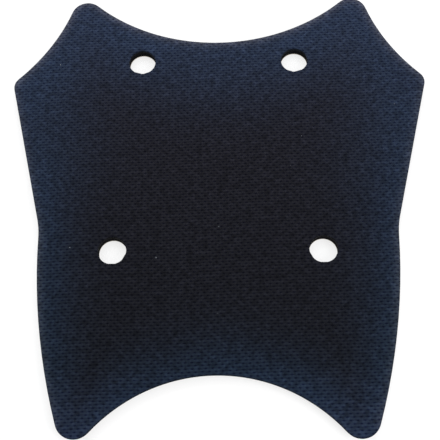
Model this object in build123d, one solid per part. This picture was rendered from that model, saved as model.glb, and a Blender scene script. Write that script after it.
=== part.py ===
"""Self-adhesive foam stomp pad for a snowboard deck.

A flat pad, cut through all its plies by one die: a grip sheet with a woven relief on top,
a closed-cell foam core, a film of contact adhesive, and a release liner in two halves.
The liner's slit runs up the middle, so each half pulls out sideways from under the pad.

Frame: millimetres, +Z up out of the grip face, +Y towards the two horns,
origin at the middle of the outline's bounding rectangle, on the liner's underside.
"""

from build123d import *

import os
from math import atan2, cos, hypot, sin, sqrt

# Plies, from the underside up
LINER_THICKNESS = 0.15
ADHESIVE_THICKNESS = 0.20
CORE_THICKNESS = 2.45
GRIP_THICKNESS = 1.20

# The die's outline, as circles and lines that its corner radii join
NOTCH_RADIUS = 74.6          # hollow between the two horns
NOTCH_BOTTOM_Y = 67.73
ARCH_RADIUS = 58.8           # hollow between the two legs
ARCH_TOP_Y = -66.12
HORN_FLANK_RADIUS = 78.8     # hollow from a horn down to its shoulder
HORN_FLANK_X = 134.0
HORN_FLANK_Y = 108.43
SIDE_X_AT_ZERO = 68.57       # straight side from shoulder to waist: x where y is zero
SIDE_LEAN = 0.2424           # and its sideways run for each millimetre of y
LEG_SIDE_RADIUS = 229.4      # bulging side from waist to leg
LEG_SIDE_X = -163.6
LEG_SIDE_Y = -12.97
HORN_TIP_RADIUS = 6.41
SHOULDER_RADIUS = 4.82
WAIST_RADIUS = 32.0
LEG_TIP_RADIUS = 6.61

# The edge: the top rim is rolled over, and the cut foam leans in towards the base
RIM_ROLL_RADIUS = 0.4
BASE_INSET = 0.9

# Four round holes, through every ply
HOLE_RADIUS = 5.15
UPPER_HOLE_X = 30.0
UPPER_HOLE_Y = 59.03
LOWER_HOLE_X = 38.4
LOWER_HOLE_Y = -20.27

# The liner's wavy slit
SLIT_WIDTH = 0.1
SLIT_WAVE_HEIGHT = 4.0
SLIT_HALF_WAVE = 50.0
SLIT_HALF_WAVES = 4
LINER_REACH = 120.0          # past the outline on every side

ADHESIVE_BOTTOM = LINER_THICKNESS
CORE_BOTTOM = ADHESIVE_BOTTOM + ADHESIVE_THICKNESS
GRIP_BOTTOM = CORE_BOTTOM + CORE_THICKNESS
PAD_THICKNESS = GRIP_BOTTOM + GRIP_THICKNESS

NOTCH_CENTRE = (0.0, NOTCH_BOTTOM_Y + NOTCH_RADIUS)
ARCH_CENTRE = (0.0, ARCH_TOP_Y - ARCH_RADIUS)
HORN_FLANK_CENTRE = (HORN_FLANK_X, HORN_FLANK_Y)
LEG_SIDE_CENTRE = (LEG_SIDE_X, LEG_SIDE_Y)
HOLE_PLACES = [
    (side * x, y)
    for x, y in ((UPPER_HOLE_X, UPPER_HOLE_Y), (LOWER_HOLE_X, LOWER_HOLE_Y))
    for side in (-1, 1)
]


def circles_meet(centre_a, radius_a, centre_b, radius_b, upper):
    """The point where two circles cross: the upper one of the two, or the lower."""
    dx, dy = centre_b[0] - centre_a[0], centre_b[1] - centre_a[1]
    apart = hypot(dx, dy)
    along = (apart**2 + radius_a**2 - radius_b**2) / (2 * apart)
    across = sqrt(radius_a**2 - along**2)
    foot = (centre_a[0] + along * dx / apart, centre_a[1] + along * dy / apart)
    points = [
        (foot[0] + sign * across * dy / apart, foot[1] - sign * across * dx / apart)
        for sign in (-1, 1)
    ]
    points.sort(key=lambda point: point[1])
    return points[1] if upper else points[0]


def side_meets_circle(side_x, centre, radius, rightmost):
    """The point where the straight side crosses a circle: the right one, or the left."""
    offset_x = side_x - centre[0]
    a = 1 + SIDE_LEAN**2
    b = 2 * (SIDE_LEAN * offset_x - centre[1])
    c = offset_x**2 + centre[1] ** 2 - radius**2
    root = sqrt(b**2 - 4 * a * c)
    heights = [(-b - root) / (2 * a), (-b + root) / (2 * a)]
    points = sorted((side_x + SIDE_LEAN * y, y) for y in heights)
    return points[1] if rightmost else points[0]


def arc_middle(centre, radius, start, end):
    """The point halfway along the short arc from start to end."""
    first = atan2(start[1] - centre[1], start[0] - centre[0])
    turn = atan2(end[1] - centre[1], end[0] - centre[0]) - first
    middle = first + atan2(sin(turn), cos(turn)) / 2
    return (centre[0] + radius * cos(middle), centre[1] + radius * sin(middle))


def mirrored(point):
    return (-point[0], point[1])


def die_outline(inset=0.0):
    """The pad's outline as one flat face without holes, drawn in from the top rim by inset."""
    notch_radius = NOTCH_RADIUS + inset
    arch_radius = ARCH_RADIUS + inset
    flank_radius = HORN_FLANK_RADIUS + inset
    leg_side_radius = LEG_SIDE_RADIUS - inset
    side_x = SIDE_X_AT_ZERO - inset * hypot(1, SIDE_LEAN)

    horn = circles_meet(NOTCH_CENTRE, notch_radius, HORN_FLANK_CENTRE, flank_radius, upper=False)
    shoulder = side_meets_circle(side_x, HORN_FLANK_CENTRE, flank_radius, rightmost=False)
    waist = side_meets_circle(side_x, LEG_SIDE_CENTRE, leg_side_radius, rightmost=True)
    leg = circles_meet(ARCH_CENTRE, arch_radius, LEG_SIDE_CENTRE, leg_side_radius, upper=True)
    flank_middle = arc_middle(HORN_FLANK_CENTRE, flank_radius, horn, shoulder)
    leg_middle = arc_middle(LEG_SIDE_CENTRE, leg_side_radius, waist, leg)

    with BuildSketch() as outline:
        with BuildLine():
            ThreePointArc(mirrored(horn), (0, NOTCH_CENTRE[1] - notch_radius), horn)
            ThreePointArc(horn, flank_middle, shoulder)
            Line(shoulder, waist)
            ThreePointArc(waist, leg_middle, leg)
            ThreePointArc(leg, (0, ARCH_CENTRE[1] + arch_radius), mirrored(leg))
            ThreePointArc(mirrored(leg), mirrored(leg_middle), mirrored(waist))
            Line(mirrored(waist), mirrored(shoulder))
            ThreePointArc(mirrored(shoulder), mirrored(flank_middle), mirrored(horn))
        make_face()
        for corner, radius in (
            (horn, HORN_TIP_RADIUS - inset),
            (shoulder, SHOULDER_RADIUS - inset),
            (waist, WAIST_RADIUS + inset),
            (leg, LEG_TIP_RADIUS - inset),
        ):
            for place in (corner, mirrored(corner)):
                nearest = outline.vertices().sort_by_distance(Vector(*place))[0]
                fillet(nearest, radius)
    return outline.sketch


def punched(solid):
    """The solid with the four holes cut right through it."""
    with BuildPart() as cut:
        add(solid)
        with Locations(*[(x, y, PAD_THICKNESS / 2) for x, y in HOLE_PLACES]):
            Cylinder(HOLE_RADIUS, 2 * PAD_THICKNESS, mode=Mode.SUBTRACT)
    return cut.part


def ply(face, bottom, thickness):
    """A flat ply of one thickness, with its holes."""
    return punched(extrude(Pos(0, 0, bottom) * face, thickness))


def grip_sheet(outline):
    """The top ply. Its outer rim is rolled over, and its hole rims are sharp."""
    blank = extrude(Pos(0, 0, GRIP_BOTTOM) * outline, GRIP_THICKNESS)
    return punched(fillet(blank.faces().sort_by(Axis.Z)[-1].edges(), RIM_ROLL_RADIUS))


def foam_core(outline, base):
    """The foam ply. Its outer wall leans in from the grip sheet down to the adhesive."""
    return punched(loft([Pos(0, 0, CORE_BOTTOM) * base, Pos(0, 0, GRIP_BOTTOM) * outline], ruled=True))


def liner_half(base, side):
    """One half of the release liner: side is -1 for the left half and 1 for the right."""
    edge_x = side * SLIT_WIDTH / 2
    start_y = -SLIT_HALF_WAVE * SLIT_HALF_WAVES / 2
    with BuildSketch() as half:
        with BuildLine():
            for i in range(SLIT_HALF_WAVES):
                low_y = start_y + i * SLIT_HALF_WAVE
                bulge_x = edge_x + SLIT_WAVE_HEIGHT * (-1) ** i
                ThreePointArc(
                    (edge_x, low_y),
                    (bulge_x, low_y + SLIT_HALF_WAVE / 2),
                    (edge_x, low_y + SLIT_HALF_WAVE),
                )
            Polyline(
                (edge_x, -start_y),
                (side * LINER_REACH, -start_y),
                (side * LINER_REACH, start_y),
                (edge_x, start_y),
            )
        make_face()
        add(base, mode=Mode.INTERSECT)
    return ply(half.sketch, 0, LINER_THICKNESS)


def main():
    outline = die_outline()
    base = die_outline(BASE_INSET)
    pieces = {
        "grip_sheet": grip_sheet(outline),
        "foam_core": foam_core(outline, base),
        "adhesive_film": ply(base, ADHESIVE_BOTTOM, ADHESIVE_THICKNESS),
        "liner_left": liner_half(base, -1),
        "liner_right": liner_half(base, 1),
    }
    os.makedirs("parts", exist_ok=True)
    for name, piece in pieces.items():
        export_step(piece, f"parts/{name}.step")


if __name__ == "__main__":
    main()
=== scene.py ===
"""Builds the look of a self-adhesive snowboard stomp pad round its packed plies.

The pad is a die-cut laminate: a rubber grip sheet with a woven relief, a closed-cell foam core,
a film of contact adhesive and a release liner in two halves. Lengths are in metres, +Z is up
out of the grip face, and +Y points to the two horns.
"""

import math

import bpy
import numpy as np
from bpy.props import FloatProperty, FloatVectorProperty, IntProperty, PointerProperty
from bpy.types import Operator, Panel, PropertyGroup
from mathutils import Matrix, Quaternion, Vector, noise
from mathutils.geometry import delaunay_2d_cdt
from mathutils.kdtree import KDTree


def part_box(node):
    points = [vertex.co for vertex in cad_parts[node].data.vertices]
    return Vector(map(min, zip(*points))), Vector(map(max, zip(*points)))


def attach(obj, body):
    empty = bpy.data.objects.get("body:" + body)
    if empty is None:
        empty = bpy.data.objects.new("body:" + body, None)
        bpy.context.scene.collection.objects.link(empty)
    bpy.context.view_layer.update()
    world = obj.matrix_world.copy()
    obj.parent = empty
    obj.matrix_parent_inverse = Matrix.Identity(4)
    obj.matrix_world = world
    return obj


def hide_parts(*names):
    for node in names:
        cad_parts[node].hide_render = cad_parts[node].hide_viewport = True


bl_info = {
    "name": "Snowboard Stomp Pad",
    "version": (1, 0, 0),
    "blender": (4, 5, 0),
    "location": "3D View > Sidebar > Stomp Pad",
    "description": "Builds the woven grip sheet, the foam and the liner of a die-cut stomp pad",
    "category": "Add Mesh",
}

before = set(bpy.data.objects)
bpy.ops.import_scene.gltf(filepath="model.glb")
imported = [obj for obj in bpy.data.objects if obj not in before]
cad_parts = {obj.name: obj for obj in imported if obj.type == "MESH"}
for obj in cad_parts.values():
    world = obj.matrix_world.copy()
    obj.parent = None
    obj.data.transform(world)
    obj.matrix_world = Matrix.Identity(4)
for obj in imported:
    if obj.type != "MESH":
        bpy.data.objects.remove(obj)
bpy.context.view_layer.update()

MM = 0.001
PAD_BODY = "pad"
LINER_NODES = ("liner_left", "liner_right")
GRIP_LOW, GRIP_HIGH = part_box("grip_sheet")
FOAM_LOW, FOAM_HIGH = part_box("foam_core")
FILM_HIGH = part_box("adhesive_film")[1]
BASE_INSET = GRIP_HIGH.x - FILM_HIGH.x


def length_prop(name, description, default):
    """A length property, in metres."""
    return FloatProperty(
        name=name, description=description, default=default, unit="LENGTH", precision=5
    )


def angle_prop(name, description, degrees):
    """An angle property, whose default is given in degrees."""
    return FloatProperty(
        name=name, description=description, default=math.radians(degrees), subtype="ANGLE"
    )


def count_prop(name, description, default, least):
    """A whole-number property that never goes under its least."""
    return IntProperty(name=name, description=description, default=default, min=least)


def share_prop(name, description, default, top=1.0):
    """A plain number property, from zero to top."""
    return FloatProperty(name=name, description=description, default=default, min=0.0, max=top)


def colour_prop(name, description, default):
    """A linear RGB colour property."""
    return FloatVectorProperty(
        name=name, description=description, default=default, subtype="COLOR", size=3
    )


# ---------------------------------------------------------------- sizes and colours


class StompPadCut(PropertyGroup):
    """What the cutting die does to every ply."""

    point_spacing: length_prop("Point spacing", "Distance between points along the outline", 0.5 * MM)
    hole_points: count_prop("Hole points", "Points round each hole", 96, 24)
    relax_rounds: count_prop("Outline smoothing", "Rounds that take the chords' corners off", 60, 0)


class StompPadGrip(PropertyGroup):
    """The grip sheet's woven relief, rim and finish, with the sheen, highlight, light and shade painted
    into its colours.
    """

    pitch_across: length_prop("Pitch across", "From one upright thread to the next", 1.177 * MM)
    pitch_along: length_prop("Pitch along", "From one level thread to the next", 1.136 * MM)
    weave_turn: angle_prop("Weave turn", "Turn of the weave against the pad's own axes", 1.75)
    thread_sway: length_prop("Thread sway", "How far the threads wander from straight", 0.16 * MM)
    relief_depth: length_prop("Relief depth", "From the threads' crowns down to the pits", 0.24 * MM)
    roll_width: length_prop("Rim roll width", "How far in from the edge the roll starts", 0.45 * MM)
    roll_height: length_prop("Rim roll height", "How far down the rolled rim reaches", 0.35 * MM)
    roll_steps: count_prop("Rim roll steps", "Rings of points over the roll", 4, 2)
    rim_fall: length_prop("Rim fall", "How much lower the face is beside the rim", 0.08 * MM)
    rim_fall_reach: length_prop("Rim fall reach", "Width of the band over which it falls", 6.0 * MM)
    hole_rim: length_prop("Hole rim", "Width of the small round on each hole's rim", 0.28 * MM)
    middle_colour: colour_prop("Middle colour", "Rubber in the pad's middle", (0.0063, 0.0069, 0.0090))
    # Painted sheen: the border colour stands for the bluish sheen of light near the edges.
    edge_sheen_colour: colour_prop("Border colour", "Rubber near the edges", (0.0089, 0.0157, 0.0270))
    edge_sheen_reach: length_prop("Border reach", "How far in the border colour reaches", 12.0 * MM)
    # Painted highlight: the rim colour stands for light on the rounded rim, not for wear.
    rim_highlight_colour: colour_prop("Rim colour", "Rubber on the burnished rim", (0.0275, 0.0345, 0.0430))
    rim_highlight_reach: length_prop("Rim reach", "How far in the rim colour reaches", 1.8 * MM)
    # Painted light: all colours grow paler towards the horns.
    horn_painted_light: colour_prop("Horn colour", "What multiplies all colours at the horns", (2.05, 1.74, 1.82))
    horn_reach: share_prop("Horn reach", "Times further that the border reaches there", 3.2, top=9.0)
    horn_start: share_prop("Horn start", "Share of the length where it starts to widen", 0.45)
    # Painted light: all colours are paler at the legs.
    leg_painted_light: colour_prop("Leg colour", "What multiplies all colours at the legs", (1.60, 1.42, 1.51))
    leg_reach: length_prop("Leg reach", "How far up the legs that reaches", 25.0 * MM)
    # Painted shade in the weave's pits.
    pit_shade_colour: colour_prop("Pit colour", "What multiplies all colours in the pits", (0.25, 0.27, 0.48))
    # Painted shade on the cut walls.
    cut_wall_shade: share_prop("Cut darkening", "How much darker the cut walls are", 0.80)
    dust_colour: colour_prop("Dust colour", "Specks of lint and dust", (0.10, 0.11, 0.12))


class StompPadFoam(PropertyGroup):
    """The foam core's cut walls and finish."""

    wall_rings: count_prop("Wall rings", "Rings of points up each cut wall", 12, 4)
    dish: length_prop("Dish", "How far the outer wall is hollowed at half height", 0.22 * MM)
    hole_dish: length_prop("Hole dish", "How far each hole's wall is hollowed", 0.12 * MM)
    cell_size: length_prop("Cell size", "Width of the foam's cut cells", 0.34 * MM)
    cell_depth: length_prop("Cell depth", "Depth of the cut cells in the wall", 0.05 * MM)
    wall_colour: colour_prop("Foam colour", "The foam's cut face", (0.0042, 0.0044, 0.0052))
    dust_colour: colour_prop("Foam dust colour", "Specks caught in the cells", (0.10, 0.10, 0.11))


class StompPadBacking(PropertyGroup):
    """The adhesive film's and the release liner's finish."""

    film_colour: colour_prop("Adhesive colour", "The adhesive, seen at its edge", (0.20, 0.185, 0.14))
    liner_colour: colour_prop("Liner colour", "The silicone-coated kraft paper", (0.42, 0.31, 0.19))
    fibre_colour: colour_prop("Fibre colour", "The paper's darker fibres", (0.24, 0.16, 0.085))
    shive_colour: colour_prop("Shive colour", "Stray specks in the paper", (0.20, 0.17, 0.13))


class StompPadStage(PropertyGroup):
    """The floor, the lights and the camera."""

    floor_size: length_prop("Floor size", "Side of the square floor", 8.0)
    floor_colour: colour_prop("Floor colour", "The floor before its glow whitens it", (0.30, 0.30, 0.30))
    floor_glow: share_prop("Floor glow", "Light that the floor gives of itself", 2.30, top=5.0)
    surround_colour: colour_prop("Surround colour", "The light tent all round", (1.0, 1.0, 1.0))
    surround_strength: share_prop("Surround strength", "Light that the tent gives", 0.70, top=5.0)
    backdrop_strength: share_prop("Backdrop strength", "How bright the tent itself looks", 1.0, top=5.0)
    view_azimuth: angle_prop("View azimuth", "Camera's turn to the right", 4.54)
    view_elevation: angle_prop("View elevation", "Camera's height angle", 67.72)
    view_roll: angle_prop("View roll", "Camera's turn about its own line", -4.79)
    view_distance: length_prop("View distance", "From the camera to its target", 0.33633)
    view_target: FloatVectorProperty(
        name="View target",
        description="The point that the camera looks at",
        default=(0.00075, -0.00717, 0.0),
        subtype="TRANSLATION",
        size=3,
    )
    focal_length: FloatProperty(
        name="Focal length", description="Lens, in millimetres", default=74.1, min=1.0
    )


# ---------------------------------------------------------------- the cut outline

WELD_DISTANCE = 1e-7
LEVEL_TOLERANCE = 1e-6
# One pull eases the corners, and the next lets the loop out again, so that it doesn't shrink
RELAX_PULLS = (0.5, -0.51)


def flat_loops(node, upper):
    """The closed loops round a ply's flat top or underside, as x, y arrays with the outline first."""
    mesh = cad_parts[node].data
    mesh.calc_loop_triangles()
    low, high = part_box(node)
    level = high.z if upper else low.z
    welded, places, ids = {}, [], []
    for vertex in mesh.vertices:
        key = tuple(round(value / WELD_DISTANCE) for value in vertex.co)
        if key not in welded:
            welded[key] = len(places)
            places.append(vertex.co.copy())
        ids.append(welded[key])
    sides = set()
    for triangle in mesh.loop_triangles:
        corners = [ids[index] for index in triangle.vertices]
        if all(abs(places[corner].z - level) < LEVEL_TOLERANCE for corner in corners):
            sides.update(zip(corners, corners[1:] + corners[:1]))
    follows = {start: end for start, end in sides if (end, start) not in sides}
    loops = []
    while follows:
        start, corner = follows.popitem()
        loop = [start]
        while corner != start:
            loop.append(corner)
            corner = follows.pop(corner)
        loops.append(np.array([places[index].to_2d() for index in loop]))
    if not loops:
        raise RuntimeError(f"{node} has no flat face")
    return sorted(loops, key=lambda loop: -np.ptp(loop, axis=0).max())


def evenly_spaced(loop, spacing):
    """The same closed loop with its points an even distance apart."""
    closed = np.vstack([loop, loop[:1]])
    steps = np.linalg.norm(np.diff(closed, axis=0), axis=1)
    along = np.concatenate([[0.0], np.cumsum(steps)])
    stops = np.linspace(0.0, along[-1], round(along[-1] / spacing), endpoint=False)
    return np.column_stack([np.interp(stops, along, closed[:, axis]) for axis in (0, 1)])


def relaxed(loop, rounds):
    """The loop with its chords' corners eased, without shrinking it."""
    for _ in range(rounds):
        for pull in RELAX_PULLS:
            middle = (np.roll(loop, 1, axis=0) + np.roll(loop, -1, axis=0)) / 2
            loop = loop + pull * (middle - loop)
    return loop


def inward_normals(loop):
    """Unit normals of an anticlockwise loop, into what it encloses."""
    along = np.roll(loop, -1, axis=0) - np.roll(loop, 1, axis=0)
    normals = np.column_stack([-along[:, 1], along[:, 0]])
    return normals / np.linalg.norm(normals, axis=1)[:, None]


def circle(centre, radius, count):
    """Points round a circle, anticlockwise."""
    angles = np.linspace(0.0, math.tau, count, endpoint=False)
    return centre + radius * np.column_stack([np.cos(angles), np.sin(angles)])


class DieCut:
    """The die's outline and holes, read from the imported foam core's face."""

    def __init__(self, cut):
        outline, *holes = flat_loops("foam_core", upper=True)
        self.outline = relaxed(evenly_spaced(outline, cut.point_spacing), cut.relax_rounds)
        self.normals = inward_normals(self.outline)
        self.hole_points = cut.hole_points
        self.holes = []
        for hole in holes:
            centre = hole.mean(axis=0)
            self.holes.append((centre, np.linalg.norm(hole - centre, axis=1).max()))
        self.tree = KDTree(len(self.outline))
        for index, (x, y) in enumerate(self.outline):
            self.tree.insert((x, y, 0.0), index)
        self.tree.balance()

    def inset(self, distance):
        """The outline drawn in by a distance, or by one distance for each point."""
        return self.outline + self.normals * np.reshape(distance, (-1, 1))

    def hole(self, number, grown=0.0):
        """One hole's circle, grown into the material by a distance."""
        centre, radius = self.holes[number]
        return circle(centre, radius + grown, self.hole_points)

    def depth(self, point):
        """How far a point lies inside the outline. Outside it, the depth is below zero."""
        _, index, _ = self.tree.find((point[0], point[1], 0.0))
        return float(np.dot(point - self.outline[index], self.normals[index]))

    def facing(self, flat):
        """How squarely the rim nearest to each point faces +Y, from -1 to 1."""
        nearest = [self.tree.find((x, y, 0.0))[1] for x, y in flat]
        return -self.normals[nearest, 1]

    def hole_gap(self, point):
        """How far a point lies outside the nearest hole."""
        return min(np.linalg.norm(point - centre) - radius for centre, radius in self.holes)

    def in_hole(self, point):
        """Whether a point lies inside a hole."""
        return self.hole_gap(np.array(point)) < 0


# ---------------------------------------------------------------- mesh helpers

# What the triangulation gives back, and how near two points have to be for it to join them, in mm
TRIANGLES_INSIDE = 1
JOIN_DISTANCE = 1e-6


class ClosedMesh:
    """Collects a closed mesh: rings of points, walls between rings, and covers that they bound."""

    def __init__(self):
        self.points = []
        self.faces = []

    def add_points(self, flat, heights):
        """Adds points, and returns their indices."""
        first = len(self.points)
        heights = np.broadcast_to(heights, len(flat))
        self.points.extend((x, y, z) for (x, y), z in zip(flat, heights))
        return list(range(first, len(self.points)))

    def wall(self, lower, upper, outwards=True):
        """Quads from one anticlockwise ring up to the next, facing out of the rings or into them."""
        for i, (low, high) in enumerate(zip(lower, upper)):
            j = (i + 1) % len(lower)
            quad = (low, lower[j], upper[j], high)
            self.faces.append(quad if outwards else quad[::-1])

    def cover(self, outline, holes, in_hole, loose=(), upwards=True):
        """Triangles over what lies inside the outline ring and outside the hole rings."""
        used = [*outline, *(index for ring in holes for index in ring), *loose]
        flat = [Vector(self.points[index][:2]) / MM for index in used]
        edges = []
        first = 0
        for ring in (outline, *holes):
            edges += [(first + i, first + (i + 1) % len(ring)) for i in range(len(ring))]
            first += len(ring)
        made = delaunay_2d_cdt(flat, edges, [], TRIANGLES_INSIDE, JOIN_DISTANCE)
        spots, triangles, sources = made[0], made[2], made[3]
        for triangle in triangles:
            middle = sum((spots[index] for index in triangle), Vector((0.0, 0.0))) / 3 * MM
            if not in_hole(middle):
                face = tuple(used[sources[index][0]] for index in triangle)
                self.faces.append(face if upwards else face[::-1])

    def to_object(self, name):
        """The finished object, linked to the scene, with smooth shading."""
        mesh = bpy.data.meshes.new(name)
        mesh.from_pydata([tuple(point) for point in self.points], [], self.faces)
        if mesh.validate():
            raise RuntimeError(f"{name} has a bad face")
        mesh.shade_smooth()
        mesh.update()
        piece = bpy.data.objects.new(name, mesh)
        bpy.context.scene.collection.objects.link(piece)
        return piece


def smoothstep(value):
    """Zero up to 0, one from 1, and a smooth rise between."""
    value = np.clip(value, 0.0, 1.0)
    return value * value * (3.0 - 2.0 * value)


# ---------------------------------------------------------------- the woven relief

# The relief is the print of a plain weave: short level pits in staggered rows, on a shallow
# furrow along each row and a fainter one up each column.
PIT_SHARE = 0.56
FURROW_SHARE = 0.18
COLUMN_SHARE = 0.16

# The threads sway with these lengths, in threads, and their count is worked back in so many rounds
SWAY_LENGTHS = (37.0, 53.0)
SWAY_ROUNDS = 4
SAMPLES_PER_PITCH = 3

# The rows' tone changes slowly along each row and jumps to the next one. The threads' is finer.
TONE_RUN = 0.11
TONE_STEP = 7.31
MOTTLE_SCALE = 0.62


def thread_place(grip, across, along):
    """The x, y place of a point counted in threads across and along the weave."""
    column = across * grip.pitch_across + grip.thread_sway * np.sin(math.tau * along / SWAY_LENGTHS[0])
    row = along * grip.pitch_along + grip.thread_sway * np.sin(math.tau * across / SWAY_LENGTHS[1])
    cos_turn, sin_turn = math.cos(grip.weave_turn), math.sin(grip.weave_turn)
    return np.column_stack([column * cos_turn - row * sin_turn, column * sin_turn + row * cos_turn])


def thread_count(grip, flat):
    """The threads across and along the weave at x, y points."""
    cos_turn, sin_turn = math.cos(grip.weave_turn), math.sin(grip.weave_turn)
    column = flat[:, 0] * cos_turn + flat[:, 1] * sin_turn
    row = flat[:, 1] * cos_turn - flat[:, 0] * sin_turn
    across, along = column / grip.pitch_across, row / grip.pitch_along
    for _ in range(SWAY_ROUNDS):
        swayed = column - grip.thread_sway * np.sin(math.tau * along / SWAY_LENGTHS[0])
        along = (row - grip.thread_sway * np.sin(math.tau * across / SWAY_LENGTHS[1])) / grip.pitch_along
        across = swayed / grip.pitch_across
    return across, along


def weave_depth(across, along):
    """The relief's depth from 0 on the crowns to 1 at the bottoms of the pits."""
    furrow = 0.5 + 0.5 * np.cos(math.tau * along)
    column = 0.5 + 0.5 * np.cos(math.tau * across)
    stagger = 0.5 - 0.5 * np.cos(math.pi * across) * np.cos(math.pi * along)
    return furrow * (FURROW_SHARE + PIT_SHARE * stagger) + COLUMN_SHARE * column


def weave_grid(grip, low, high):
    """Threads across and along at points over the pits, their slopes and the crowns between."""
    reach = max(abs(value) for value in (low.x, low.y, high.x, high.y)) * math.sqrt(2)
    rows = math.ceil(reach / grip.pitch_along)
    columns = math.ceil(reach / grip.pitch_across / 2) * SAMPLES_PER_PITCH
    step = np.arange(-columns, columns + 1) * 2 / SAMPLES_PER_PITCH
    across, along = [], []
    for row in range(-rows, rows + 1):
        for part in (-1, 0, 1):
            across.append(step + (row + 1) % 2)
            along.append(np.full(len(step), row + part / SAMPLES_PER_PITCH))
    across, along = np.concatenate(across), np.concatenate(along)
    x, y = thread_place(grip, across, along).T
    inside = (x > low.x) & (x < high.x) & (y > low.y) & (y < high.y)
    return across[inside], along[inside]


# ---------------------------------------------------------------- shader nodes

WHITE = (1.0, 1.0, 1.0, 1.0)

# The Mix node has a set of sockets for each kind of data. These are its colour ones.
MIX_FACTOR = 0
MIX_FIRST = 6
MIX_SECOND = 7
MIX_RESULT = 2


def set_inputs(tree, node, inputs):
    """Sets a node's inputs, and links those that are given a socket."""
    for name, value in inputs.items():
        if isinstance(value, bpy.types.NodeSocket):
            tree.links.new(value, node.inputs[name])
        else:
            node.inputs[name].default_value = value


def add_node(tree, kind, inputs=None, **settings):
    """Adds a shader node, sets its properties, and sets or links its inputs."""
    node = tree.nodes.new(kind)
    for name, value in settings.items():
        setattr(node, name, value)
    set_inputs(tree, node, inputs or {})
    return node


def math_node(tree, operation, *values, clamp=False):
    """One Math node's output."""
    inputs = dict(enumerate(values))
    return add_node(tree, "ShaderNodeMath", inputs, operation=operation, use_clamp=clamp).outputs[0]


def multiply(tree, first, second):
    """The product of two values."""
    return math_node(tree, "MULTIPLY", first, second)


def mix_colour(tree, factor, first, second, blend_type="MIX"):
    """The colour output of a Mix node."""
    inputs = {MIX_FACTOR: factor, MIX_FIRST: first, MIX_SECOND: second}
    node = add_node(tree, "ShaderNodeMix", inputs, data_type="RGBA", blend_type=blend_type)
    return node.outputs[MIX_RESULT]


def tinted(tree, base, tint):
    """A colour multiplied by another colour, or by a value."""
    return mix_colour(tree, 1.0, base, tint, "MULTIPLY")


def rescale(tree, value, low, high, new_low, new_high):
    """A value's range carried over to another, held at both ends."""
    inputs = {"Value": value, "From Min": low, "From Max": high, "To Min": new_low, "To Max": new_high}
    return add_node(tree, "ShaderNodeMapRange", inputs, clamp=True).outputs["Result"]


def varied(tree, texture, low, high, spread=0.2):
    """A noise carried over to a range. Most of a noise lies within its spread of a half."""
    return rescale(tree, texture, 0.5 - spread, 0.5 + spread, low, high)


def rgba(value):
    """A colour property as the four numbers that a socket takes."""
    return (*value, 1.0)


# ---------------------------------------------------------------- shader node groups


def new_group(name, inputs, outputs):
    """A node group with its named sockets, and its input and output nodes' sockets."""
    group = bpy.data.node_groups.new(name, "ShaderNodeTree")
    for socket_name, socket_type, default in inputs:
        socket = group.interface.new_socket(socket_name, in_out="INPUT", socket_type=socket_type)
        if default is not None:
            socket.default_value = default
    for socket_name in outputs:
        group.interface.new_socket(socket_name, in_out="OUTPUT", socket_type="NodeSocketFloat")
    return group, group.nodes.new("NodeGroupInput").outputs, group.nodes.new("NodeGroupOutput").inputs


def woven_threads_group():
    """The print of a plain weave, from a place counted in threads: its height, pits and tones."""
    name = "Woven Threads"
    if name in bpy.data.node_groups:
        return bpy.data.node_groups[name]
    group, given, result = new_group(
        name,
        [("Threads", "NodeSocketVector", None), ("Share", "NodeSocketFloat", 1.0)],
        ["Height", "Pits", "Row Tone", "Thread Tone"],
    )
    place = add_node(group, "ShaderNodeSeparateXYZ", {0: given["Threads"]})
    across, along = place.outputs["X"], place.outputs["Y"]

    def wave(threads, turn):
        return math_node(group, "COSINE", multiply(group, threads, turn))

    furrow = math_node(group, "MULTIPLY_ADD", wave(along, math.tau), 0.5, 0.5)
    column_size = 0.5 * COLUMN_SHARE
    column = math_node(group, "MULTIPLY_ADD", wave(across, math.tau), column_size, column_size)
    lattice = multiply(group, wave(across, math.pi), wave(along, math.pi))
    pit_size = 0.5 * PIT_SHARE
    stagger = math_node(group, "MULTIPLY_ADD", lattice, -pit_size, FURROW_SHARE + pit_size)
    depth = multiply(group, math_node(group, "MULTIPLY_ADD", furrow, stagger, column), given["Share"])
    row = add_node(
        group,
        "ShaderNodeCombineXYZ",
        {
            "X": multiply(group, across, TONE_RUN),
            "Y": multiply(group, math_node(group, "FLOOR", along), TONE_STEP),
        },
    ).outputs[0]
    tone = add_node(group, "ShaderNodeTexNoise", {"Vector": row, "Detail": 1.0}, noise_dimensions="2D")
    mottle_inputs = {"Vector": given["Threads"], "Scale": MOTTLE_SCALE, "Detail": 2.0}
    mottle = add_node(group, "ShaderNodeTexNoise", mottle_inputs, noise_dimensions="2D")
    group.links.new(math_node(group, "SUBTRACT", 1.0, depth), result["Height"])
    group.links.new(rescale(group, depth, 0.12, 0.80, 0.0, 1.0), result["Pits"])
    group.links.new(tone.outputs["Fac"], result["Row Tone"])
    group.links.new(mottle.outputs["Fac"], result["Thread Tone"])
    return group


def grain_group():
    """Fine uneven grain, and broad cloudy patches, for anything that isn't quite even."""
    name = "Grain"
    if name in bpy.data.node_groups:
        return bpy.data.node_groups[name]
    group, given, result = new_group(
        name,
        [
            ("Vector", "NodeSocketVector", None),
            ("Grain Size", "NodeSocketFloat", 0.5 * MM),
            ("Patch Size", "NodeSocketFloat", 30.0 * MM),
        ],
        ["Grain", "Patches"],
    )
    for size, output, detail in (("Grain Size", "Grain", 4.0), ("Patch Size", "Patches", 3.0)):
        scale = math_node(group, "DIVIDE", 1.0, given[size])
        inputs = {"Vector": given["Vector"], "Scale": scale, "Detail": detail, "Roughness": 0.6}
        texture = add_node(group, "ShaderNodeTexNoise", inputs)
        group.links.new(texture.outputs["Fac"], result[output])
    return group


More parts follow.
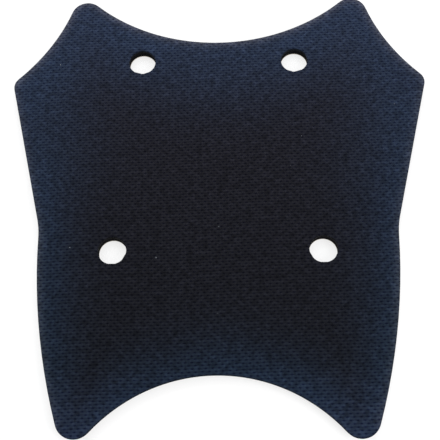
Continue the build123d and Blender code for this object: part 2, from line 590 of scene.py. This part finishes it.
def cut_cells_group():
    """Closed foam cells opened by the blade: round pits with thin walls between them."""
    name = "Cut Cells"
    if name in bpy.data.node_groups:
        return bpy.data.node_groups[name]
    group, given, result = new_group(
        name,
        [("Vector", "NodeSocketVector", None), ("Cell Size", "NodeSocketFloat", 0.4 * MM)],
        ["Height", "Pits"],
    )
    scale = math_node(group, "DIVIDE", 1.0, given["Cell Size"])
    inputs = {"Vector": given["Vector"], "Scale": scale, "Randomness": 0.9}
    cells = add_node(group, "ShaderNodeTexVoronoi", inputs, feature="DISTANCE_TO_EDGE")
    from_wall = cells.outputs["Distance"]
    group.links.new(rescale(group, from_wall, 0.0, 0.22, 1.0, 0.0), result["Height"])
    group.links.new(rescale(group, from_wall, 0.05, 0.3, 0.0, 1.0), result["Pits"])
    return group


def dust_group():
    """Sparse pale specks of lint and dust."""
    name = "Dust"
    if name in bpy.data.node_groups:
        return bpy.data.node_groups[name]
    group, given, result = new_group(
        name,
        [
            ("Vector", "NodeSocketVector", None),
            ("Spacing", "NodeSocketFloat", 4.0 * MM),
            ("Speck Size", "NodeSocketFloat", 0.08),
            ("Amount", "NodeSocketFloat", 0.3),
        ],
        ["Specks"],
    )
    scale = math_node(group, "DIVIDE", 1.0, given["Spacing"])
    cells = add_node(group, "ShaderNodeTexVoronoi", {"Vector": given["Vector"], "Scale": scale})
    near = math_node(group, "LESS_THAN", cells.outputs["Distance"], given["Speck Size"])
    pick = add_node(group, "ShaderNodeSeparateColor", {0: cells.outputs["Color"]})
    chosen = math_node(group, "LESS_THAN", pick.outputs[0], given["Amount"])
    specks = multiply(group, multiply(group, near, chosen), pick.outputs[1])
    group.links.new(specks, result["Specks"])
    return group


def place_group(tree, group, inputs):
    """A node group placed in a material with its own values."""
    return add_node(tree, "ShaderNodeGroup", inputs, node_tree=group).outputs


def place_grain(tree, place, grain_size, patch_size):
    """The grain group, placed with its two sizes."""
    inputs = {"Vector": place, "Grain Size": grain_size, "Patch Size": patch_size}
    return place_group(tree, grain_group(), inputs)


def place_dust(tree, place, spacing, speck_size, amount):
    """The dust group's specks. Their size is a share of their spacing."""
    inputs = {"Vector": place, "Spacing": spacing, "Speck Size": speck_size, "Amount": amount}
    return place_group(tree, dust_group(), inputs)["Specks"]


# ---------------------------------------------------------------- materials

# A paper fibre's width, as a share of its length
FIBRE_WIDTH = 0.22


def new_material(name, constants):
    """A material with a bare Principled shader, whose constant sockets are set by name."""
    material = bpy.data.materials.new(name)
    material.use_nodes = True
    tree = material.node_tree
    tree.nodes.clear()
    shader = add_node(tree, "ShaderNodeBsdfPrincipled", constants)
    add_node(tree, "ShaderNodeOutputMaterial", {"Surface": shader.outputs[0]})
    place = add_node(tree, "ShaderNodeTexCoord").outputs["Object"]
    return material, tree, shader, place


def attribute(tree, name, output="Fac"):
    """A named mesh attribute's output."""
    return add_node(tree, "ShaderNodeAttribute", attribute_name=name).outputs[output]


def bump(tree, layers):
    """Bump nodes one on another, each given as a height, its depth and its strength."""
    normal = None
    for height, depth, strength in layers:
        inputs = {"Height": height, "Distance": depth, "Strength": strength}
        if normal is not None:
            inputs["Normal"] = normal
        normal = add_node(tree, "ShaderNodeBump", inputs).outputs["Normal"]
    return normal


def fade(tree, distance, reach):
    """One at no distance, with a soft shoulder, then falling off as the distance nears its reach."""
    falling = math_node(tree, "POWER", math_node(tree, "DIVIDE", distance, reach), 1.5)
    return math_node(tree, "EXPONENT", multiply(tree, falling, -1.0))


def grip_colour(tree, grip, place, grain):
    """The rubber's colour: near black, with painted sheen that makes it bluer near the edges, a painted
    highlight on the rim, and painted light that makes it paler at the horns and the legs.
    """
    from_rim = attribute(tree, "rim_distance")
    along = add_node(tree, "ShaderNodeSeparateXYZ", {0: place}).outputs["Y"]
    lift = rescale(tree, along, GRIP_LOW.y, GRIP_HIGH.y, 0.0, 1.0)
    # Painted sheen: the colour grows paler and bluer near the edges, and reaches further in towards the
    # horns.
    wide_reach = grip.edge_sheen_reach * grip.horn_reach
    reach = rescale(tree, lift, grip.horn_start, 1.0, grip.edge_sheen_reach, wide_reach)
    uneven = varied(tree, grain["Patches"], 0.84, 1.16)
    edge_sheen = math_node(tree, "MULTIPLY", fade(tree, from_rim, reach), uneven, clamp=True)
    base = mix_colour(tree, edge_sheen, rgba(grip.middle_colour), rgba(grip.edge_sheen_colour))
    # Painted highlight on the rounded rim, strongest where the rim faces +Y.
    rim_highlight = multiply(tree, fade(tree, from_rim, grip.rim_highlight_reach), attribute(tree, "rim_highlight_mask"))
    base = mix_colour(tree, rim_highlight, base, rgba(grip.rim_highlight_colour))
    # Painted light: the colours grow paler towards the horns and at the legs.
    at_horns = math_node(tree, "POWER", lift, 1.5)
    base = tinted(tree, base, mix_colour(tree, at_horns, WHITE, rgba(grip.horn_painted_light)))
    at_legs = rescale(tree, along, GRIP_LOW.y, GRIP_LOW.y + grip.leg_reach, 1.0, 0.0)
    return tinted(tree, base, mix_colour(tree, at_legs, WHITE, rgba(grip.leg_painted_light)))


def grip_shade(tree, grip, threads, grain, relief_share):
    """How light each thread and grain is, and the painted shade that darkens the cut walls."""
    rows = varied(tree, threads["Row Tone"], 0.74, 1.30, spread=0.25)
    mottle = varied(tree, threads["Thread Tone"], 0.74, 1.28, spread=0.25)
    # Painted shade: the cut walls, which have no share of the relief, are darkened.
    cut = rescale(tree, relief_share, 0.0, 0.8, 1.0 - grip.cut_wall_shade, 1.0)
    shade = multiply(tree, rows, varied(tree, grain["Grain"], 0.84, 1.18))
    return multiply(tree, multiply(tree, shade, mottle), cut)


def grip_material(grip):
    """Matte black rubber, moulded with a weave's print."""
    material, tree, shader, place = new_material("woven_grip_rubber", {"Specular IOR Level": 0.03})
    relief_share = attribute(tree, "relief_share")
    weave = {"Threads": attribute(tree, "threads", "Vector"), "Share": relief_share}
    threads = place_group(tree, woven_threads_group(), weave)
    grain = place_grain(tree, place, 0.35 * MM, 28 * MM)
    # Painted shade: the pits are darkened and blued.
    pit_shade = mix_colour(tree, threads["Pits"], WHITE, rgba(grip.pit_shade_colour))
    base = tinted(tree, grip_colour(tree, grip, place, grain), pit_shade)
    base = tinted(tree, base, grip_shade(tree, grip, threads, grain, relief_share))
    specks = place_dust(tree, place, 4.5 * MM, 0.055, 0.10)
    smooth = varied(tree, grain["Grain"], 0.58, 0.72)
    layers = [(threads["Height"], 0.16 * MM, 0.6), (grain["Grain"], 0.03 * MM, 0.5)]
    finish = {
        "Base Color": mix_colour(tree, specks, base, rgba(grip.dust_colour)),
        "Roughness": math_node(tree, "MULTIPLY_ADD", threads["Pits"], 0.2, smooth),
        "Normal": bump(tree, layers),
    }
    set_inputs(tree, shader, finish)
    return material


def foam_material(foam):
    """Soft black foam, cut through its cells, with painted shade in the cells' hollows."""
    material, tree, shader, place = new_material("cut_foam", {"Specular IOR Level": 0.04})
    cells = place_group(tree, cut_cells_group(), {"Vector": place, "Cell Size": foam.cell_size})
    grain = place_grain(tree, place, 0.2 * MM, 9 * MM)
    specks = place_dust(tree, place, 2.4 * MM, 0.06, 0.10)
    # Painted shade: the cells' hollows are darker and the walls between them lighter.
    pits = rescale(tree, cells["Pits"], 0.0, 1.0, 1.25, 0.62)
    shade = multiply(tree, pits, varied(tree, grain["Patches"], 0.85, 1.15))
    base = tinted(tree, rgba(foam.wall_colour), shade)
    layers = [(cells["Height"], foam.cell_depth, 0.8), (grain["Grain"], 0.02 * MM, 0.5)]
    finish = {
        "Base Color": mix_colour(tree, specks, base, rgba(foam.dust_colour)),
        "Roughness": varied(tree, grain["Grain"], 0.86, 0.98),
        "Normal": bump(tree, layers),
    }
    set_inputs(tree, shader, finish)
    return material


def film_material(backing):
    """Cloudy contact adhesive with a tacky gloss."""
    material, tree, shader, place = new_material("contact_adhesive", {"Coat Roughness": 0.25})
    grain = place_grain(tree, place, 0.6 * MM, 12 * MM)
    cloud = varied(tree, grain["Patches"], 0.82, 1.14)
    finish = {
        "Base Color": tinted(tree, rgba(backing.film_colour), cloud),
        "Roughness": varied(tree, grain["Grain"], 0.30, 0.46),
        "Coat Weight": varied(tree, grain["Patches"], 0.3, 0.7),
        "Normal": bump(tree, [(grain["Grain"], 0.03 * MM, 0.6)]),
    }
    set_inputs(tree, shader, finish)
    return material


def liner_material(backing):
    """Kraft paper with a silicone coat and short darker fibres."""
    material, tree, shader, place = new_material("release_liner_paper", {"Coat Roughness": 0.32})
    stretch = {"Vector": place, "Scale": (1.0, FIBRE_WIDTH, 1.0)}
    long_way = add_node(tree, "ShaderNodeMapping", stretch).outputs[0]
    fibres = place_grain(tree, long_way, 0.4 * MM, 22 * MM)
    flecks = place_grain(tree, long_way, 1.5 * MM, 6 * MM)
    shives = place_dust(tree, place, 6.0 * MM, 0.03, 0.3)
    fibre = rescale(tree, fibres["Grain"], 0.42, 0.72, 0.0, 0.55)
    base = mix_colour(tree, fibre, rgba(backing.liner_colour), rgba(backing.fibre_colour))
    base = tinted(tree, base, varied(tree, fibres["Patches"], 0.92, 1.06))
    base = tinted(tree, base, rescale(tree, flecks["Grain"], 0.35, 0.68, 0.80, 1.12))
    layers = [(flecks["Patches"], 0.30 * MM, 0.5), (fibres["Grain"], 0.02 * MM, 0.5)]
    finish = {
        "Base Color": mix_colour(tree, shives, base, rgba(backing.shive_colour)),
        "Roughness": varied(tree, fibres["Grain"], 0.40, 0.55),
        "Coat Weight": varied(tree, fibres["Patches"], 0.35, 0.6),
        "Normal": bump(tree, layers),
    }
    set_inputs(tree, shader, finish)
    return material


# ---------------------------------------------------------------- pieces

# The rim inside the arch and under the legs gets no painted highlight. It faces away from +Y.
HIGHLIGHT_OFF_FACING = -0.9
HIGHLIGHT_FULL_FACING = 0.3

# Points of the relief keep this share of a thread clear of the rims
CLEAR_OF_RIM = 0.2

# The foam's lumps span so many cells
CELLS_PER_LUMP = 2.2


class GripMesh(ClosedMesh):
    """A closed mesh whose points also carry their distance from the rim and their share of the relief."""

    def __init__(self, die, grip):
        super().__init__()
        self.die = die
        self.grip = grip
        self.rim_distances = []
        self.shares = []

    def add_ring(self, flat, heights, rim_distances, share):
        """Adds points that have a share of the relief, and sinks them by it."""
        across, along = thread_count(self.grip, flat)
        relief = self.grip.relief_depth * weave_depth(across, along)
        sunk = share * (relief + self.face_fall(rim_distances))
        self.rim_distances.extend(np.broadcast_to(rim_distances, len(flat)))
        self.shares.extend(np.broadcast_to(share, len(flat)))
        return self.add_points(flat, heights - sunk)

    def face_fall(self, rim_distances):
        """How far the face has fallen at a distance from the rim."""
        inwards = (rim_distances - self.grip.roll_width) / self.grip.rim_fall_reach
        return self.grip.rim_fall * (1 - smoothstep(inwards))

    def add_attributes(self, mesh):
        """Writes each point's attributes for the material."""
        flat = np.array([point[:2] for point in self.points])
        threads = np.column_stack([*thread_count(self.grip, flat), np.zeros(len(flat))])
        mesh.attributes.new("threads", "FLOAT_VECTOR", "POINT").data.foreach_set("vector", threads.ravel())
        values = {
            "rim_distance": self.rim_distances,
            "relief_share": self.shares,
            # The mask of the painted rim highlight: full on rims that face +Y, none on those that face
            # away.
            "rim_highlight_mask": smoothstep(
                (self.die.facing(flat) - HIGHLIGHT_OFF_FACING) / (HIGHLIGHT_FULL_FACING - HIGHLIGHT_OFF_FACING)
            ),
        }
        for name, numbers in values.items():
            mesh.attributes.new(name, "FLOAT", "POINT").data.foreach_set("value", numbers)


def quarter_round(width, height, steps, first=1):
    """Steps over a quarter round: how far in each lies, how far up, and its share of the relief."""
    for step in range(first, steps + 1):
        turn = math.radians(90) * step / steps
        yield width * (1 - math.cos(turn)), height * math.sin(turn), math.sin(turn) ** 2


def add_grip_rim(mesh, die, grip):
    """The grip sheet's outer rings, from its underside up and over the rolled rim."""
    wall_top = GRIP_HIGH.z - grip.roll_height
    rings = [
        mesh.add_ring(die.outline, GRIP_LOW.z, 0.0, 0.0),
        mesh.add_ring(die.outline, wall_top, 0.0, 0.0),
    ]
    for inset, rise, share in quarter_round(grip.roll_width, grip.roll_height, grip.roll_steps):
        rings.append(mesh.add_ring(die.inset(inset), wall_top + rise, inset, share))
    for lower, upper in zip(rings, rings[1:]):
        mesh.wall(lower, upper)
    return rings[0], rings[-1]


def add_grip_holes(mesh, die, grip):
    """The holes' straight walls and small upper rounds, as pairs of lower and upper rings."""
    pairs = []
    rim_height = grip.relief_depth + grip.hole_rim
    wall_top = GRIP_HIGH.z - rim_height
    for number in range(len(die.holes)):
        distances = np.array([die.depth(point) for point in die.hole(number)])
        rings = [mesh.add_ring(die.hole(number), GRIP_LOW.z, distances, 0.0)]
        for grown, rise, share in quarter_round(grip.hole_rim, rim_height, grip.roll_steps, first=0):
            rings.append(mesh.add_ring(die.hole(number, grown), wall_top + rise, distances, share))
        for lower, upper in zip(rings, rings[1:]):
            mesh.wall(lower, upper, outwards=False)
        pairs.append((rings[0], rings[-1]))
    return pairs


def build_grip_sheet(die, grip):
    """The grip sheet: one closed sheet with its weave in relief."""
    mesh = GripMesh(die, grip)
    low_rim, top_rim = add_grip_rim(mesh, die, grip)
    hole_rings = add_grip_holes(mesh, die, grip)

    flat = thread_place(grip, *weave_grid(grip, GRIP_LOW, GRIP_HIGH))
    margin = CLEAR_OF_RIM * min(grip.pitch_across, grip.pitch_along)
    distances = np.array([die.depth(point) for point in flat])
    gaps = np.array([die.hole_gap(point) for point in flat])
    kept = (distances > grip.roll_width + margin) & (gaps > grip.hole_rim + margin)
    loose = mesh.add_ring(flat[kept], GRIP_HIGH.z, distances[kept], 1.0)
    mesh.cover(top_rim, [top for _, top in hole_rings], die.in_hole, loose)
    mesh.cover(low_rim, [low for low, _ in hole_rings], die.in_hole, upwards=False)
    piece = mesh.to_object("grip_sheet_woven")
    mesh.add_attributes(piece.data)
    piece.data.materials.append(grip_material(grip))
    return piece


def cell_offsets(foam, flat, height):
    """How deep each point of a cut wall lies in its cell."""
    size = foam.cell_size * CELLS_PER_LUMP
    lumps = [noise.noise(Vector((x, y, height)) / size) for x, y in flat]
    return foam.cell_depth * (0.5 + 0.5 * np.array(lumps))


def build_foam_core(die, foam):
    """The foam core: its outer wall leans in and is dished, and its cells stand open."""
    mesh = ClosedMesh()
    outer, holes = [], [[] for _ in die.holes]
    for level in range(foam.wall_rings + 1):
        rise = level / foam.wall_rings
        height = FOAM_LOW.z + rise * (FOAM_HIGH.z - FOAM_LOW.z)
        dished = math.sin(math.pi * rise)
        lean = BASE_INSET * (1 - rise)
        hollow = (foam.dish + cell_offsets(foam, die.outline, height)) * dished
        outer.append(mesh.add_points(die.inset(lean + hollow), height))
        for number, rings in enumerate(holes):
            centre, _ = die.holes[number]
            ring = die.hole(number)
            hollow = (foam.hole_dish + cell_offsets(foam, ring, height)) * dished
            away = (ring - centre) / np.linalg.norm(ring - centre, axis=1)[:, None]
            rings.append(mesh.add_points(ring + away * hollow[:, None], height))
    for lower, upper in zip(outer, outer[1:]):
        mesh.wall(lower, upper)
    for rings in holes:
        for lower, upper in zip(rings, rings[1:]):
            mesh.wall(lower, upper, outwards=False)
    mesh.cover(outer[-1], [rings[-1] for rings in holes], die.in_hole)
    mesh.cover(outer[0], [rings[0] for rings in holes], die.in_hole, upwards=False)
    piece = mesh.to_object("foam_core_cut")
    piece.data.materials.append(foam_material(foam))
    return piece


def finish_node(node, material):
    """Gives a carried-over CAD node its material."""
    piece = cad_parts[node]
    if not piece.material_slots:
        raise RuntimeError(f"{node} has no material slot")
    for slot in piece.material_slots:
        slot.material = material


# ---------------------------------------------------------------- operators


class STOMPPAD_OT_grip_sheet(Operator):
    """Build the grip sheet with its woven relief"""

    bl_idname = "stomp_pad.grip_sheet"
    bl_label = "Grip Sheet"

    def execute(self, context):
        scene = context.scene
        piece = build_grip_sheet(DieCut(scene.stomp_pad_cut), scene.stomp_pad_grip)
        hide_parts("grip_sheet")
        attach(piece, PAD_BODY)
        return {"FINISHED"}


class STOMPPAD_OT_foam_core(Operator):
    """Build the foam core with its dished, cell-pitted cut walls"""

    bl_idname = "stomp_pad.foam_core"
    bl_label = "Foam Core"

    def execute(self, context):
        scene = context.scene
        piece = build_foam_core(DieCut(scene.stomp_pad_cut), scene.stomp_pad_foam)
        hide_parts("foam_core")
        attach(piece, PAD_BODY)
        return {"FINISHED"}


class STOMPPAD_OT_backing(Operator):
    """Finish the adhesive film and both halves of the release liner"""

    bl_idname = "stomp_pad.backing"
    bl_label = "Adhesive and Liner"

    def execute(self, context):
        backing = context.scene.stomp_pad_backing
        finish_node("adhesive_film", film_material(backing))
        paper = liner_material(backing)
        for node in LINER_NODES:
            finish_node(node, paper)
        return {"FINISHED"}


class STOMPPAD_OT_stage(Operator):
    """Set out the pale floor, the soft lights and the camera"""

    bl_idname = "stomp_pad.stage"
    bl_label = "Stage"

    # Each softbox: its name, place, side length, watts and colour
    SOFTBOXES = (
        ("softbox_horns", (0.00, 0.36, 0.30), 0.42, 1.4, (0.93, 0.96, 1.0)),
        ("softbox_left", (-0.38, 0.12, 0.28), 0.30, 0.5, (1.0, 1.0, 1.0)),
        ("softbox_right", (0.38, -0.22, 0.28), 0.30, 1.5, (1.0, 0.98, 1.0)),
        ("softbox_above", (0.00, 0.00, 2.00), 1.60, 4.0, (1.0, 1.0, 1.0)),
    )

    def execute(self, context):
        scene = context.scene
        stage = scene.stomp_pad_stage
        self.lay_floor(scene, stage)
        self.light_surround(scene, stage)
        for name, place, side, watts, tint in self.SOFTBOXES:
            self.hang_softbox(scene, name, Vector(place), side, watts, tint)
        self.set_camera(scene, stage)
        scene.view_settings.view_transform = "Standard"
        return {"FINISHED"}

    def lay_floor(self, scene, stage):
        """Lays the square floor under the pad."""
        half = stage.floor_size / 2
        mesh = bpy.data.meshes.new("floor")
        corners = [(-half, -half, 0.0), (half, -half, 0.0), (half, half, 0.0), (-half, half, 0.0)]
        mesh.from_pydata(corners, [], [(0, 1, 2, 3)])
        floor = bpy.data.objects.new("floor", mesh)
        scene.collection.objects.link(floor)
        mesh.materials.append(self.floor_material(stage))

    def floor_material(self, stage):
        """A matte pale floor that glows a little, so that it comes out white."""
        constants = {
            "Roughness": 0.9,
            "Specular IOR Level": 0.1,
            "Emission Color": rgba(stage.floor_colour),
            "Emission Strength": stage.floor_glow,
        }
        material, tree, shader, place = new_material("pale_floor", constants)
        patches = place_grain(tree, place, 2 * MM, 400 * MM)["Patches"]
        shade = varied(tree, patches, 0.985, 1.0)
        set_inputs(tree, shader, {"Base Color": tinted(tree, rgba(stage.floor_colour), shade)})
        return material

    def light_surround(self, scene, stage):
        """Surrounds the scene with an even tent of light, brighter where the camera sees it."""
        world = bpy.data.worlds.new("light_tent")
        world.use_nodes = True
        tree = world.node_tree
        seen = add_node(tree, "ShaderNodeLightPath").outputs["Is Camera Ray"]
        strength = rescale(tree, seen, 0.0, 1.0, stage.surround_strength, stage.backdrop_strength)
        tent = {"Color": rgba(stage.surround_colour), "Strength": strength}
        set_inputs(tree, tree.nodes["Background"], tent)
        scene.world = world

    def hang_softbox(self, scene, name, place, side, watts, tint):
        """Hangs a square softbox that faces the pad, out of the camera's sight."""
        light = bpy.data.lights.new(name, "AREA")
        light.shape = "SQUARE"
        light.size = side
        light.energy = watts
        light.color = tint
        lamp = bpy.data.objects.new(name, light)
        lamp.location = place
        lamp.rotation_euler = place.to_track_quat("Z", "Y").to_euler()
        lamp.visible_camera = False
        scene.collection.objects.link(lamp)

    def set_camera(self, scene, stage):
        """Sets the camera by its angles, its roll and its distance from its target."""
        data = bpy.data.cameras.new("camera")
        data.lens = stage.focal_length
        data.sensor_width = 36.0
        data.clip_start = 0.01
        camera = bpy.data.objects.new("camera", data)
        azimuth, elevation = stage.view_azimuth, stage.view_elevation
        level = math.cos(elevation)
        back = Vector((math.sin(azimuth) * level, -math.cos(azimuth) * level, math.sin(elevation)))
        camera.location = Vector(stage.view_target) + back * stage.view_distance
        roll = Quaternion((0.0, 0.0, 1.0), stage.view_roll)
        camera.rotation_mode = "QUATERNION"
        camera.rotation_quaternion = back.to_track_quat("Z", "Y") @ roll
        scene.collection.objects.link(camera)
        scene.camera = camera


class VIEW3D_PT_stomp_pad(Panel):
    """Sizes, colours and build buttons of the stomp pad"""

    bl_label = "Stomp Pad"
    bl_space_type = "VIEW_3D"
    bl_region_type = "UI"
    bl_category = "Stomp Pad"

    def draw(self, context):
        """Lists each group's settings in a box, and then the operators."""
        layout = self.layout
        for holder in SETTINGS:
            box = layout.box()
            box.label(text=holder.removeprefix("stomp_pad_").title())
            group = getattr(context.scene, holder)
            for name in group.bl_rna.properties.keys():
                if name not in ("rna_type", "name"):
                    box.prop(group, name)
        for operator in OPERATORS:
            layout.operator(operator.bl_idname)


SETTINGS = {
    "stomp_pad_cut": StompPadCut,
    "stomp_pad_grip": StompPadGrip,
    "stomp_pad_foam": StompPadFoam,
    "stomp_pad_backing": StompPadBacking,
    "stomp_pad_stage": StompPadStage,
}
OPERATORS = (STOMPPAD_OT_stage, STOMPPAD_OT_grip_sheet, STOMPPAD_OT_foam_core, STOMPPAD_OT_backing)
CLASSES = (*SETTINGS.values(), *OPERATORS, VIEW3D_PT_stomp_pad)


def register():
    """Registers the classes and hangs the settings on the scene."""
    for cls in CLASSES:
        bpy.utils.register_class(cls)
    for holder, group in SETTINGS.items():
        setattr(bpy.types.Scene, holder, PointerProperty(type=group))


def unregister():
    """Takes the settings and the classes away again."""
    for holder in SETTINGS:
        delattr(bpy.types.Scene, holder)
    for cls in reversed(CLASSES):
        bpy.utils.unregister_class(cls)


def main():
    """Builds everything, in order."""
    register()
    bpy.ops.stomp_pad.stage()
    bpy.ops.stomp_pad.grip_sheet()
    bpy.ops.stomp_pad.foam_core()
    bpy.ops.stomp_pad.backing()


if __name__ == "__main__":
    main()
